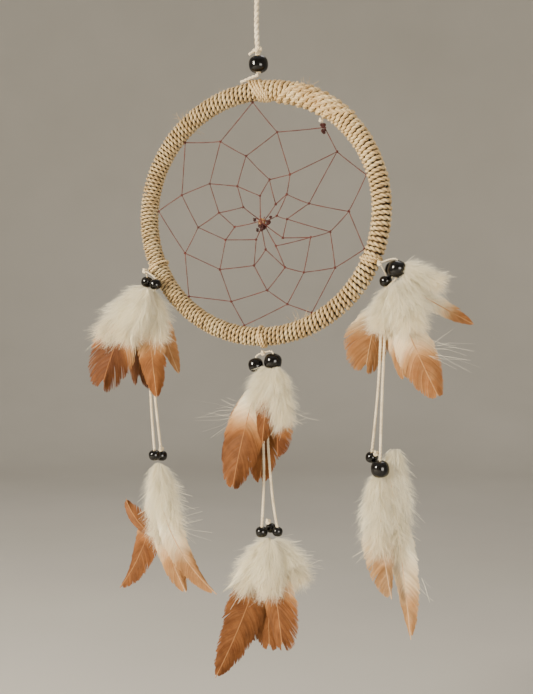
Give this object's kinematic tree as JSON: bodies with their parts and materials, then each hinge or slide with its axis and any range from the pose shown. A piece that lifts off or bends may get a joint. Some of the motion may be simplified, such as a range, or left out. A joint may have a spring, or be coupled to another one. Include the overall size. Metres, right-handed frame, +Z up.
{
  "type": "dream catcher",
  "caption": "Hanging dream catcher: a twine-wound hoop holding a knotted thread web, on a cord with a bead, with strings of black beads and soft feathers below.",
  "frame": {"origin": "the point where the hanging loop rests on its hook", "axes": "+Z up, +X to the right across the hoop, +Y through the hoop towards the wall behind it"},
  "size_m": [0.1787, 0.0258, 0.356],
  "materials": {
    "twine": "natural twisted grass twine, dry and slightly glossy on its strands",
    "hoop_rod": "bent cane rod, hidden under the twine",
    "cord": "cream twisted cord",
    "web_thread": "waxed dark red thread",
    "web_bead": "small polished brown bead",
    "black_bead": "black, high gloss",
    "feather": "hen feather, cream down at the quill and orange-brown towards the tip"
  },
  "bodies": {
    "hanger": {"hang_loop": "cord"},
    "cord": {"hang_cord": "cord", "hang_bead": "black_bead"},
    "tail": {"hoop_tail": "cord"},
    "hoop": {"hoop_rod": "hoop_rod", "hoop_twine": "twine", "top_lashing": "cord", "left_tie": "cord", "centre_tie": "cord", "right_tie": "cord", "web_thread": "web_thread", "web_bead": "web_bead"},
    "left_knot": {"left_hitch": "cord"},
    "left_bunch": {"left_bead_inner": "black_bead", "left_bead_outer": "black_bead", "left_feather_back": "feather", "left_feather_long": "feather", "left_feather_tan": "feather", "left_feather_wide": "feather"},
    "left_drop": {"left_low_bead_back": "black_bead", "left_low_bead_front": "black_bead", "left_low_feather_far": "feather", "left_low_feather_left": "feather", "left_low_feather_right": "feather", "left_strand_back": "cord", "left_strand_front": "cord"},
    "centre_knot": {"centre_hitch": "cord"},
    "centre_bunch": {"centre_bead_large": "black_bead", "centre_bead_small": "black_bead", "centre_feather_left": "feather", "centre_feather_long": "feather", "centre_feather_mid": "feather", "centre_feather_right": "feather"},
    "centre_drop": {"centre_low_bead_back": "black_bead", "centre_low_bead_left": "black_bead", "centre_low_bead_right": "black_bead", "centre_low_feather_left": "feather", "centre_low_feather_long": "feather", "centre_low_feather_mid": "feather", "centre_low_feather_right": "feather", "centre_strand_left": "cord", "centre_strand_right": "cord"},
    "right_knot": {"right_hitch": "cord"},
    "right_bunch": {"right_bead_back": "black_bead", "right_bead_front": "black_bead", "right_bead_low": "black_bead", "right_feather_left": "feather", "right_feather_long": "feather", "right_feather_mid": "feather", "right_feather_side": "feather"},
    "right_drop": {"right_low_bead_left": "black_bead", "right_low_bead_right": "black_bead", "right_low_feather_back": "feather", "right_low_feather_left": "feather", "right_low_feather_long": "feather", "right_strand_left": "cord", "right_strand_right": "cord"}
  },
  "joints": [
    {"name": "hang_swing", "type": "hinge", "parent": "hanger", "child": "cord", "pos_m": [0, 0, -0.03123], "axis": [0, 1, 0], "range_deg": [-20, 20]},
    {"name": "hoop_twist", "type": "hinge", "parent": "cord", "child": "tail", "pos_m": [0.0007, 0, -0.0713], "axis": [0, 0, 1], "range_deg": [-180, 180]},
    {"name": "hoop_nod", "type": "hinge", "parent": "tail", "child": "hoop", "pos_m": [0.0019, 0, -0.0798], "axis": [1, 0, 0], "range_deg": [-10, 10]},
    {"name": "left_swing", "type": "hinge", "parent": "hoop", "child": "left_knot", "pos_m": [-0.05483, -0.0053, -0.16186], "axis": [0, 1, 0], "range_deg": [0, 30]},
    {"name": "left_nod", "type": "hinge", "parent": "left_knot", "child": "left_bunch", "pos_m": [-0.05483, -0.0053, -0.16186], "axis": [1, 0, 0], "range_deg": [-15, 6]},
    {"name": "left_drop_swing", "type": "hinge", "parent": "left_bunch", "child": "left_drop", "pos_m": [-0.05363, -0.0045, -0.17046], "axis": [0, 1, 0], "range_deg": [-12, 12]},
    {"name": "centre_swing", "type": "hinge", "parent": "hoop", "child": "centre_knot", "pos_m": [0.00302, 0, -0.20089], "axis": [0, 1, 0], "range_deg": [-15, 15]},
    {"name": "centre_nod", "type": "hinge", "parent": "centre_knot", "child": "centre_bunch", "pos_m": [0.00302, 0, -0.20089], "axis": [1, 0, 0], "range_deg": [-15, 15]},
    {"name": "centre_drop_swing", "type": "hinge", "parent": "centre_bunch", "child": "centre_drop", "pos_m": [0.00382, 0, -0.21009], "axis": [0, 1, 0], "range_deg": [-12, 12]},
    {"name": "right_swing", "type": "hinge", "parent": "hoop", "child": "right_knot", "pos_m": [0.05885, -0.0053, -0.16136], "axis": [0, 1, 0], "range_deg": [-30, 0]},
    {"name": "right_nod", "type": "hinge", "parent": "right_knot", "child": "right_bunch", "pos_m": [0.05885, -0.0053, -0.16136], "axis": [1, 0, 0], "range_deg": [-15, 6]},
    {"name": "right_drop_swing", "type": "hinge", "parent": "right_bunch", "child": "right_drop", "pos_m": [0.05995, -0.0001, -0.17236], "axis": [0, 1, 0], "range_deg": [-12, 12]}
  ]
}
